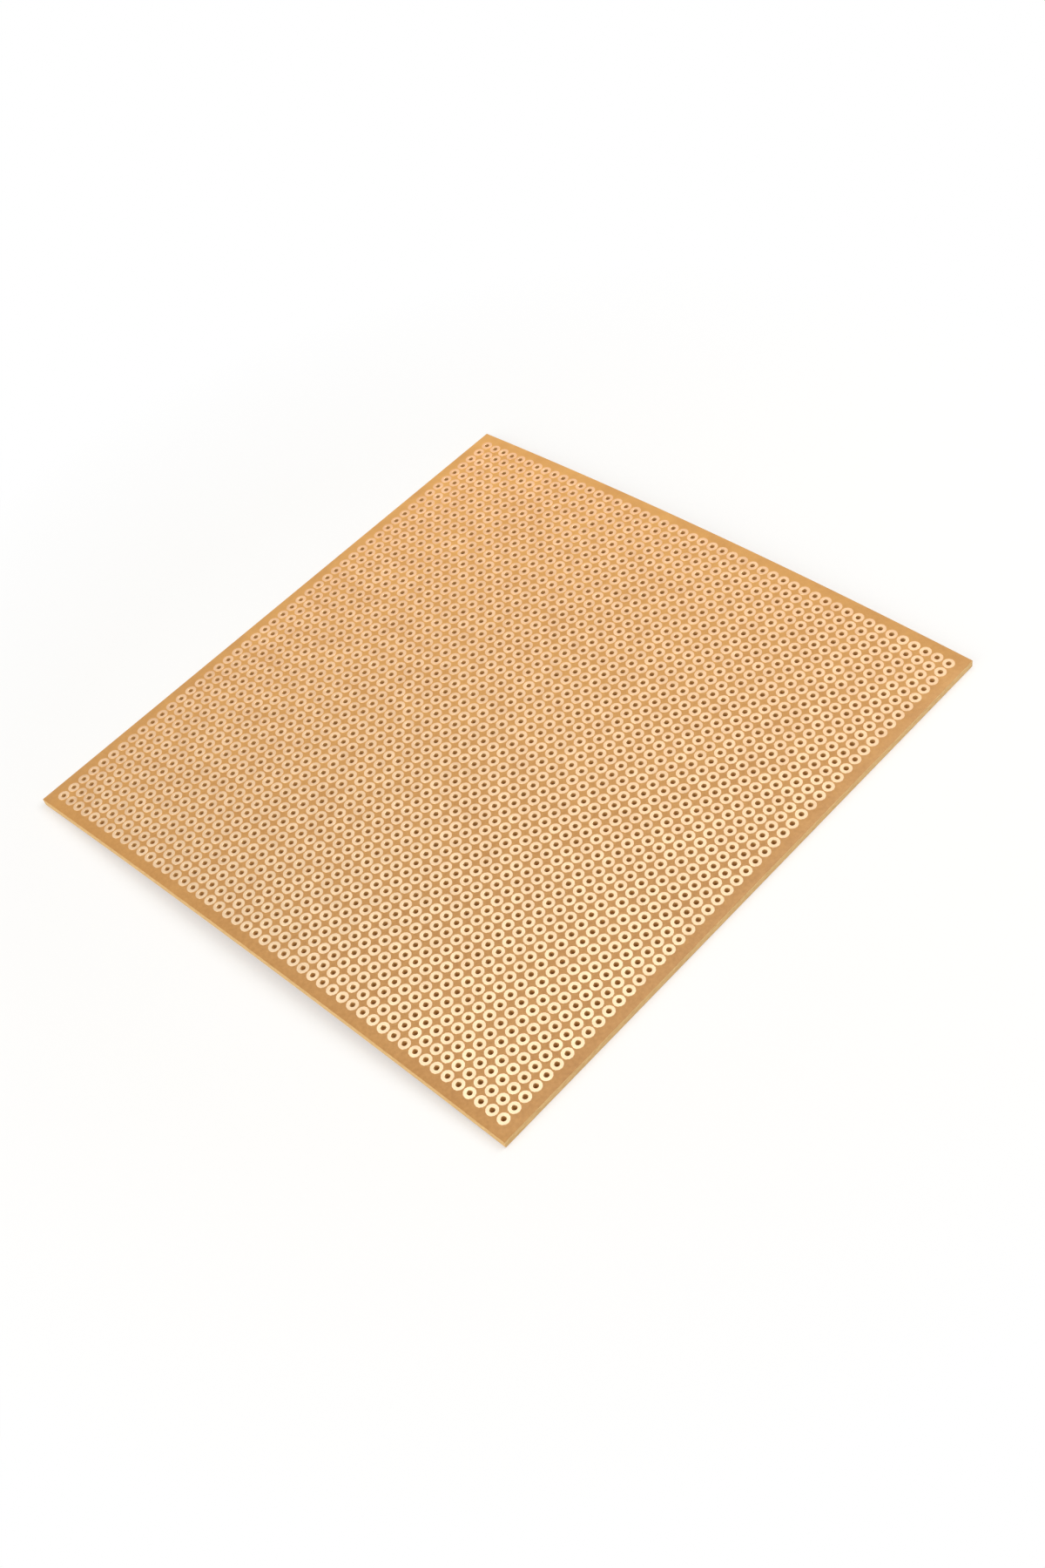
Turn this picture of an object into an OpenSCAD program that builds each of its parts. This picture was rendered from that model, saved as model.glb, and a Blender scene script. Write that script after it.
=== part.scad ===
// Prototype board: a square sheet of paper laminate, drilled all over on a 0.1 inch grid,
// with a round copper land bonded round every hole on its upper face.
// A thin sheet with foil on one side bows a little as it cures, so it stands on its two ends
// along Y and rises to a crown between them. Each row of holes is drilled in a flat strip of
// that bow, square to its face.
// The origin is on the bench, below the middle of the sheet. +Z is the copper side.

/* [Grid] */
// Distance between neighbouring holes, both ways, along the underside
pitch = 2.54; // [2:0.01:5.08]
// Holes in each row, along X
holes_x = 48; // [2:1:60]
// Rows of holes, along Y
holes_y = 48; // [2:1:60]
// Diameter of each drilled hole
hole_d = 1.0; // [0.6:0.05:1.3]

/* [Sheet] */
// Thickness of the laminate
sheet_t = 1.6; // [0.8:0.1:3.2]
// Bare laminate from the outer lands to the sheared edge
bare_edge = 1.9; // [0.5:0.1:10]
// Radius that the underside has bowed to
bow_r = 1130; // [400:10:3000]

/* [Copper] */
// Thickness of the copper foil
foil_t = 0.035; // [0.018:0.001:0.14]
// Bare laminate etched clear between neighbouring lands
land_gap = 0.2; // [0.15:0.01:0.4]

/* [Hidden] */
// Sides of a hole or a land as it is drawn on screen
round_fn = 24;
land_d = pitch - land_gap;
// From the middle of an outer hole to the sheared edge
reach = land_d / 2 + bare_edge;
sheet_x = (holes_x - 1) * pitch + 2 * reach;
// Turn from one row to the next, and of the last row from the crown
row_turn = 2 * atan(pitch / 2 / bow_r);
end_turn = (holes_y - 1) / 2 * row_turn;
// Height of the crown's underside above the bench
crown = bow_r * (1 - cos(end_turn)) + reach * sin(end_turn);

// Turn of one row from the crown
function turn_of(row) = (row - (holes_y - 1) / 2) * row_turn;

// Puts its children on one row's strip, square to it, with the strip's underside at zero
module on_strip(row) {
    turn = turn_of(row);
    translate([0, bow_r * sin(turn), bow_r * cos(turn) + crown - bow_r])
        rotate([-turn, 0, 0])
            children();
}

// Puts its children at every hole in the same way
module at_every_hole() {
    for (row = [0 : holes_y - 1])
        on_strip(row)
            for (column = [0 : holes_x - 1])
                translate([(column - (holes_x - 1) / 2) * pitch, 0, 0])
                    children();
}

// A block cut down to the strips at one height in the sheet, with some spare round its sides
module below_strips(up, spare) {
    difference() {
        translate([-sheet_x / 2 - spare, -sheet_x / 2 - 1 - spare, -1 - spare])
            cube([sheet_x + 2 * spare, sheet_x + 2 + 2 * spare, crown + up + 2 + spare]);
        for (row = [0 : holes_y - 1]) {
            side = row == 0 || row == holes_y - 1 ? 2 * reach : 0.75 * pitch;
            on_strip(row)
                translate([-sheet_x, -side, up])
                    cube([2 * sheet_x, 2 * side, 4 * sheet_t]);
        }
    }
}

// The bowed sheet, sheared square and not yet drilled
module blank_sheet() {
    difference() {
        below_strips(sheet_t, 0);
        below_strips(0, 1);
        on_strip(0)
            translate([-sheet_x, -reach - 2 * pitch, -2 * sheet_t])
                cube([2 * sheet_x, 2 * pitch, 5 * sheet_t]);
        on_strip(holes_y - 1)
            translate([-sheet_x, reach, -2 * sheet_t])
                cube([2 * sheet_x, 2 * pitch, 5 * sheet_t]);
    }
}

// The drilled sheet
module laminate() {
    color("peru")
        difference() {
            blank_sheet();
            at_every_hole()
                translate([0, 0, -sheet_t / 2])
                    cylinder(d = hole_d, h = 2 * sheet_t, $fn = round_fn);
        }
}

// The etched foil: one ring bonded round each hole, apart from its neighbours
module copper_lands() {
    color("sandybrown")
        at_every_hole()
            translate([0, 0, sheet_t])
                linear_extrude(foil_t)
                    difference() {
                        circle(d = land_d, $fn = round_fn);
                        circle(d = hole_d, $fn = round_fn);
                    }
}

laminate();
copper_lands();
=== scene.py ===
import math

import bmesh
import bpy
from mathutils import Matrix, Vector


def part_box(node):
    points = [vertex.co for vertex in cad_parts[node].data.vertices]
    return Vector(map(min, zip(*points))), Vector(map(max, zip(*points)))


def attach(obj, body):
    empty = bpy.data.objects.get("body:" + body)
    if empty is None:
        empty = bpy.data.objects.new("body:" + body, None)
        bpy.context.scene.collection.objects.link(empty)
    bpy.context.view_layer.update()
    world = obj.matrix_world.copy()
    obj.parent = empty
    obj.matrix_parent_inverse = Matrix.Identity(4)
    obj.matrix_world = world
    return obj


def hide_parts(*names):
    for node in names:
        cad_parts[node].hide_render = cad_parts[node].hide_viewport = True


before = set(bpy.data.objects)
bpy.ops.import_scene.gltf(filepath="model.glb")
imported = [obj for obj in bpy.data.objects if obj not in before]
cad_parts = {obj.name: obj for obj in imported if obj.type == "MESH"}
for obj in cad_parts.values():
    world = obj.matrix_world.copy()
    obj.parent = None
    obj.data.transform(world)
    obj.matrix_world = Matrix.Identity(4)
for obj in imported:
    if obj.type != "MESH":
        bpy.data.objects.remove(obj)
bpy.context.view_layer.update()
MM = 0.001

# The camera looks down on the copper side from over the front corner, a little rolled,
# as the board was photographed.
camera_place = Vector((-145.19, -214.11, 268.03)) * MM
camera_aim = Vector((-7.27, -14.75, 3.3)) * MM
camera_roll = math.radians(-15.96)

camera_data = bpy.data.cameras.new("camera")
camera_data.lens = 45.5
camera_data.sensor_width = 36
camera_data.clip_start = 10 * MM
camera = bpy.data.objects.new("camera", camera_data)
level = (camera_aim - camera_place).to_track_quat("-Z", "Y").to_matrix()
turned = level @ Matrix.Rotation(camera_roll, 3, "Z")
camera.matrix_world = Matrix.Translation(camera_place) @ turned.to_4x4()
bpy.context.scene.collection.objects.link(camera)
bpy.context.scene.camera = camera

# The sheet is phenolic paper laminate, pressed smooth and amber on both faces, sheared to
# size and drilled right through on a 0.1 inch grid. It bows along Y, and each row of holes
# lies on a flat strip of the bow.
pitch = 2.54 * MM
holes_x = 48
holes_y = 48
hole_d = 1.0 * MM
hole_sides = 12
sheet_t = 1.6 * MM
bow_r = 1130 * MM
shear_wear = 0.07 * MM
pulp_grain = 6 * MM
fibre_grain = 0.7 * MM
fibre_share = 0.4
press_grain = 0.4 * MM
ply_grain = 1.2 * MM
ply_flatness = 7.0
weld = 0.001 * MM
crisp_corner = math.radians(35)
outline_corner = math.radians(45)

half_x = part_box("laminate")[1].x
reach = half_x - (holes_x - 1) / 2 * pitch
half_y = (holes_y - 1) / 2 * pitch + reach
row_turn = 2 * math.atan(pitch / 2 / bow_r)
end_turn = (holes_y - 1) / 2 * row_turn
crown = bow_r * (1 - math.cos(end_turn)) + reach * math.sin(end_turn)
bow_middle = Vector((0, 0, crown - bow_r))


def bend(bm):
    """Swings each row of a flat board, whose underside is at zero, to its strip of the bow."""
    for v in bm.verts:
        row = round(v.co.y / pitch + (holes_y - 1) / 2)
        row = min(max(row, 0), holes_y - 1) - (holes_y - 1) / 2
        arm = Vector((v.co.x, v.co.y - row * pitch, bow_r + v.co.z))
        v.co = bow_middle + Matrix.Rotation(-row * row_turn, 3, "X") @ arm


def at_holes(shape, rows):
    """A bmesh with a copy of one shape at each hole of these rows, on a flat board."""
    mesh = bpy.data.meshes.new("one_hole")
    shape.to_mesh(mesh)
    shape.free()
    bm = bmesh.new()
    for row in rows:
        for column in range(holes_x):
            place = Vector((column - (holes_x - 1) / 2, row - (holes_y - 1) / 2, 0)) * pitch
            mesh.transform(Matrix.Translation(place))
            bm.from_mesh(mesh)
            mesh.transform(Matrix.Translation(-place))
    bpy.data.meshes.remove(mesh)
    return bm


def finished(name, bm, materials):
    """Makes a bmesh a piece at the origin on the board's one body, shaded smooth but for its corners."""
    mesh = bpy.data.meshes.new(name)
    bm.to_mesh(mesh)
    bm.free()
    for material in materials:
        mesh.materials.append(material)
    mesh.shade_smooth()
    mesh.set_sharp_from_angle(angle=crisp_corner)
    piece = bpy.data.objects.new(name, mesh)
    bpy.context.scene.collection.objects.link(piece)
    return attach(piece, "root")


def linear(hex_colour):
    """An sRGB colour such as "cd995c" as the linear RGBA that a shader takes."""
    out = []
    for i in (0, 2, 4):
        c = int(hex_colour[i:i + 2], 16) / 255
        out.append(c / 12.92 if c <= 0.04045 else ((c + 0.055) / 1.055) ** 2.4)
    return (*out, 1.0)


def add(tree, kind, settings=(), links=()):
    """Adds a node. Settings are (socket or property, value) pairs, and links (socket, output) pairs."""
    node = tree.nodes.new(kind)
    for name, value in settings:
        if isinstance(name, int) or name in node.inputs:
            node.inputs[name].default_value = value
        else:
            setattr(node, name, value)
    for name, output in links:
        tree.links.new(node.inputs[name], output)
    return node


def blank_material(name):
    """A material with only its output, as (material, tree, output's surface)."""
    material = bpy.data.materials.new(name)
    material.use_nodes = True
    tree = material.node_tree
    tree.nodes.clear()
    return material, tree, tree.nodes.new("ShaderNodeOutputMaterial").inputs["Surface"]


def speckle(tree, coordinates, size, detail):
    """Noise whose grains are about this size in metres."""
    return add(tree, "ShaderNodeTexNoise",
               [("Scale", 1 / size), ("Detail", detail), ("Roughness", 0.55)],
               [("Vector", coordinates)]).outputs["Fac"]


def between(tree, factor, low, high):
    """A colour that runs from low to high over the middle of a noise's range."""
    node = add(tree, "ShaderNodeValToRGB", links=[("Fac", factor)])
    first, last = node.color_ramp.elements
    first.position, first.color = 0.3, linear(low)
    last.position, last.color = 0.7, linear(high)
    return node.outputs["Color"]


def blended(tree, factor, first, second):
    """Two colours mixed by a factor, given as a number or an output."""
    node = add(tree, "ShaderNodeMix", [("data_type", "RGBA")])
    if isinstance(factor, float):
        node.inputs[0].default_value = factor
    else:
        tree.links.new(node.inputs[0], factor)
    tree.links.new(node.inputs[6], first)
    tree.links.new(node.inputs[7], second)
    return node.outputs[2]


def far_corner_painted_light(tree, coordinates):
    """How strongly painted light brightens a spot: not at all round the near corner, fully at the far
    corner."""
    across = add(tree, "ShaderNodeVectorMath",
                 [("operation", "DOT_PRODUCT"), (1, (1.0, 1.0, 0.0))],
                 [(0, coordinates)])
    return add(tree, "ShaderNodeMapRange",
               [("From Min", -half_x), ("From Max", half_x + half_y)],
               [("Value", across.outputs["Value"])]).outputs["Result"]


def pressed_laminate():
    """Phenolic paper pressed between steel plates: amber resin over kraft paper, satin, faintly mottled,
    and painted light that turns it a brighter orange towards the far corner."""
    material, tree, surface = blank_material("pressed_phenolic_paper")
    where = add(tree, "ShaderNodeTexCoord").outputs["Object"]
    mottle = speckle(tree, where, pulp_grain, 3)
    pulp = between(tree, mottle, "b5803f", "c18d4b")
    fibre = between(tree, speckle(tree, where, fibre_grain, 3), "a97434", "ca9552")
    plain = blended(tree, fibre_share, pulp, fibre)
    # Painted light: a brighter orange laminate, blended in towards the far corner.
    painted_lit_laminate = between(tree, mottle, "d79a4a", "e8ac58")
    colour = blended(tree, far_corner_painted_light(tree, where), plain, painted_lit_laminate)
    bump = add(tree, "ShaderNodeBump", [("Strength", 0.25), ("Distance", 0.02 * MM)],
               [("Height", speckle(tree, where, press_grain, 2))])
    shader = add(tree, "ShaderNodeBsdfPrincipled",
                 [("Roughness", 0.5), ("IOR", 1.55)],
                 [("Base Color", colour), ("Normal", bump.outputs["Normal"])])
    tree.links.new(surface, shader.outputs["BSDF"])
    return material


def cut_laminate():
    """The same laminate where it was sheared or drilled: torn paper plies, pale and matt."""
    material, tree, surface = blank_material("cut_phenolic_paper")
    where = add(tree, "ShaderNodeTexCoord").outputs["Object"]
    flat = add(tree, "ShaderNodeMapping",
               [("Scale", (1.0, 1.0, ply_flatness))],
               [("Vector", where)]).outputs["Vector"]
    plies = speckle(tree, flat, ply_grain, 4)
    colour = between(tree, plies, "d4a96a", "eec88a")
    bump = add(tree, "ShaderNodeBump", [("Strength", 0.5), ("Distance", 0.04 * MM)], [("Height", plies)])
    shader = add(tree, "ShaderNodeBsdfPrincipled",
                 [("Roughness", 0.8), ("IOR", 1.5)],
                 [("Base Color", colour), ("Normal", bump.outputs["Normal"])])
    tree.links.new(surface, shader.outputs["BSDF"])
    return material


patch = bmesh.new()
bmesh.ops.create_grid(patch, x_segments=1, y_segments=1, size=pitch / 2)
bmesh.ops.delete(patch, geom=patch.faces[:], context="FACES_ONLY")
bmesh.ops.create_circle(patch, segments=hole_sides, radius=hole_d / 2)
bmesh.ops.triangle_fill(patch, edges=patch.edges[:], use_beauty=True, normal=(0, 0, -1))

sheet = at_holes(patch, range(holes_y))
bmesh.ops.remove_doubles(sheet, verts=sheet.verts, dist=weld)
for v in sheet.verts:
    if abs(v.co.x) > holes_x / 2 * pitch - weld:
        v.co.x = math.copysign(half_x, v.co.x)
    if abs(v.co.y) > holes_y / 2 * pitch - weld:
        v.co.y = math.copysign(half_y, v.co.y)
upper = bmesh.ops.extrude_face_region(sheet, geom=sheet.faces[:])["geom"]
upper = [g for g in upper if isinstance(g, bmesh.types.BMVert)]
bmesh.ops.translate(sheet, vec=(0, 0, sheet_t), verts=upper)
bmesh.ops.recalc_face_normals(sheet, faces=sheet.faces)
walls = [f for f in sheet.faces if abs(f.normal.z) < 0.5]
outline = []
for f in walls:
    f.material_index = 1
    middle = f.calc_center_median()
    if max(abs(middle.x) - half_x, abs(middle.y) - half_y) > -weld:
        outline += [e for e in f.edges if e.calc_face_angle(0) > outline_corner]
bmesh.ops.bevel(sheet, geom=list(dict.fromkeys(outline)), offset=shear_wear, segments=2, profile=0.5,
                affect="EDGES", material=-1)
bend(sheet)
laminate = finished("drilled_sheet", sheet, [pressed_laminate(), cut_laminate()])
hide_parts("laminate")

# The lands are 35 micron copper foil, bonded to the sheet and etched to a ring round each
# hole. Etching slopes their outer edge and drilling rolls the inner one. A thin amber
# flux lacquer keeps them bright.
foil_t = 0.035 * MM
land_gap = 0.2 * MM
land_d = pitch - land_gap
etched_slope = 0.03 * MM
rolled_rim = 0.05 * MM
uneven_copper = 3.2 * MM
scrub_mark = 1.5 * MM
scrub_slimness = 12.0
rows_a_piece = 24


def lacquered_copper():
    """Scrubbed copper foil under flux lacquer: a broad sheen, cream round the near corner and a painted
    reflection that turns it a brighter peach towards the far corner, a little uneven from land to land.
    The scrub marks are drawn about 0.1 mm wide, coarser than real ones, so that they show."""
    material, tree, surface = blank_material("lacquered_copper_foil")
    where = add(tree, "ShaderNodeTexCoord").outputs["Object"]
    grain = speckle(tree, where, uneven_copper, 2)
    # Painted reflection: cream copper at the near corner, a brighter peach blended in towards the far
    # corner.
    near_copper = between(tree, grain, "cdb79a", "dbc7aa")
    painted_far_reflection = between(tree, grain, "e6b88e", "f4caa2")
    colour = blended(tree, far_corner_painted_light(tree, where), near_copper, painted_far_reflection)
    along = add(tree, "ShaderNodeMapping",
                [("Scale", (scrub_slimness, 1.0, 1.0))],
                [("Vector", where)]).outputs["Vector"]
    scrub = speckle(tree, along, scrub_mark, 2)
    roughness = add(tree, "ShaderNodeMapRange", [("To Min", 0.34), ("To Max", 0.5)], [("Value", scrub)])
    bump = add(tree, "ShaderNodeBump", [("Strength", 0.2), ("Distance", 0.01 * MM)], [("Height", scrub)])
    shader = add(tree, "ShaderNodeBsdfPrincipled",
                 [("Metallic", 1.0), ("Coat Weight", 0.35), ("Coat Roughness", 0.3), ("Coat IOR", 1.5),
                  ("Coat Tint", linear("fbe6c4"))],
                 [("Base Color", colour), ("Roughness", roughness.outputs["Result"]),
                  ("Normal", bump.outputs["Normal"])])
    tree.links.new(surface, shader.outputs["BSDF"])
    return material


def one_land():
    """A foil ring on top of the sheet, spun from its section."""
    bm = bmesh.new()
    section = [bm.verts.new((radius, 0, sheet_t + up)) for radius, up in (
        (hole_d / 2, 0), (hole_d / 2 + rolled_rim, foil_t),
        (land_d / 2 - etched_slope, foil_t), (land_d / 2, 0))]
    edges = [bm.edges.new((section[i - 1], section[i])) for i in range(len(section))]
    bmesh.ops.spin(bm, geom=section + edges, cent=(0, 0, 0), axis=(0, 0, 1), angle=2 * math.pi,
                   steps=hole_sides, use_merge=True)
    bmesh.ops.remove_doubles(bm, verts=bm.verts, dist=weld)
    bmesh.ops.recalc_face_normals(bm, faces=bm.faces)
    return bm


copper = lacquered_copper()
for side, first_row in (("front", 0), ("back", rows_a_piece)):
    foil = at_holes(one_land(), range(first_row, first_row + rows_a_piece))
    bend(foil)
    lands = finished("copper_lands_" + side, foil, [copper])
    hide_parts("copper_lands")

# The board lies on plain white card under soft studio light: a large window light at the
# front right, a weaker panel overhead and behind, a fill at the left, and a pale room.
floor_reach = 2.0
floor_drop = 0.02 * MM
shadow_near = 90 * MM
shadow_far = 150 * MM
shadow_glow = 0.45


def seen_directly(tree):
    """One for rays from the camera, off gloss and through glass, and nothing for soft light."""
    rays = add(tree, "ShaderNodeLightPath").outputs
    direct = rays["Is Camera Ray"]
    for other in ("Is Glossy Ray", "Is Transmission Ray"):
        direct = add(tree, "ShaderNodeMath",
                     [("operation", "MAXIMUM")],
                     [(0, direct), (1, rays[other])]).outputs[0]
    return direct


def white_card():
    """Matt white card, lit to white all over but for the shadow close round the board."""
    material, tree, surface = blank_material("matt_white_card")
    where = add(tree, "ShaderNodeTexCoord").outputs["Object"]
    out = add(tree, "ShaderNodeVectorMath", [("operation", "LENGTH")], [(0, where)]).outputs["Value"]
    glow_share = add(tree, "ShaderNodeMapRange",
                     [("From Min", shadow_near), ("From Max", shadow_far),
                      ("To Min", shadow_glow), ("To Max", 1.0)],
                     [("Value", out)])
    share = add(tree, "ShaderNodeMath", [("operation", "MULTIPLY")],
                [(0, glow_share.outputs["Result"]), (1, seen_directly(tree))])
    card = add(tree, "ShaderNodeBsdfDiffuse", [("Color", linear("fcfcfb"))])
    glow = add(tree, "ShaderNodeEmission", [("Color", (1.0, 1.0, 1.0, 1.0)), ("Strength", 1.0)])
    mixed = add(tree, "ShaderNodeMixShader",
                links=[(0, share.outputs[0]), (1, card.outputs[0]), (2, glow.outputs[0])])
    tree.links.new(surface, mixed.outputs[0])
    return material


ground = bmesh.new()
bmesh.ops.create_grid(ground, x_segments=1, y_segments=1, size=floor_reach)
bmesh.ops.translate(ground, vec=(0, 0, -floor_drop), verts=ground.verts)
floor_mesh = bpy.data.meshes.new("floor")
ground.to_mesh(floor_mesh)
ground.free()
floor_mesh.materials.append(white_card())
floor = bpy.data.objects.new("floor", floor_mesh)
bpy.context.scene.collection.objects.link(floor)


def panel(name, place, aim, size, watts, tint):
    """A square soft light, in metres and watts, that faces a point."""
    data = bpy.data.lights.new(name, "AREA")
    data.size = size
    data.energy = watts
    data.color = linear(tint)[:3]
    lamp = bpy.data.objects.new(name, data)
    turned = (Vector(aim) - Vector(place)).to_track_quat("-Z", "Y").to_matrix()
    lamp.matrix_world = Matrix.Translation(place) @ turned.to_4x4()
    bpy.context.scene.collection.objects.link(lamp)


panel("window", place=(0.40, -0.25, 0.60), aim=(0, 0, 0), size=0.5, watts=2.85, tint="ffffff")
panel("overhead", place=(0.08, 0.20, 0.75), aim=(-0.04, -0.04, 0), size=0.45, watts=1.0, tint="ffffff")
panel("left_fill", place=(-0.60, -0.02, 0.32), aim=(0, 0, 0), size=0.5, watts=1.9, tint="fffaf2")

world = bpy.data.worlds.new("studio")
bpy.context.scene.world = world
world.use_nodes = True
sky = world.node_tree
sky.nodes.clear()
room = add(sky, "ShaderNodeBackground", [("Color", linear("f7f5f2")), ("Strength", 0.40)])
white = add(sky, "ShaderNodeBackground", [("Color", (1.0, 1.0, 1.0, 1.0)), ("Strength", 1.0)])
mixed = add(sky, "ShaderNodeMixShader",
            links=[(0, seen_directly(sky)), (1, room.outputs[0]), (2, white.outputs[0])])
add(sky, "ShaderNodeOutputWorld", links=[("Surface", mixed.outputs[0])])

bpy.context.scene.view_settings.view_transform = "Standard"
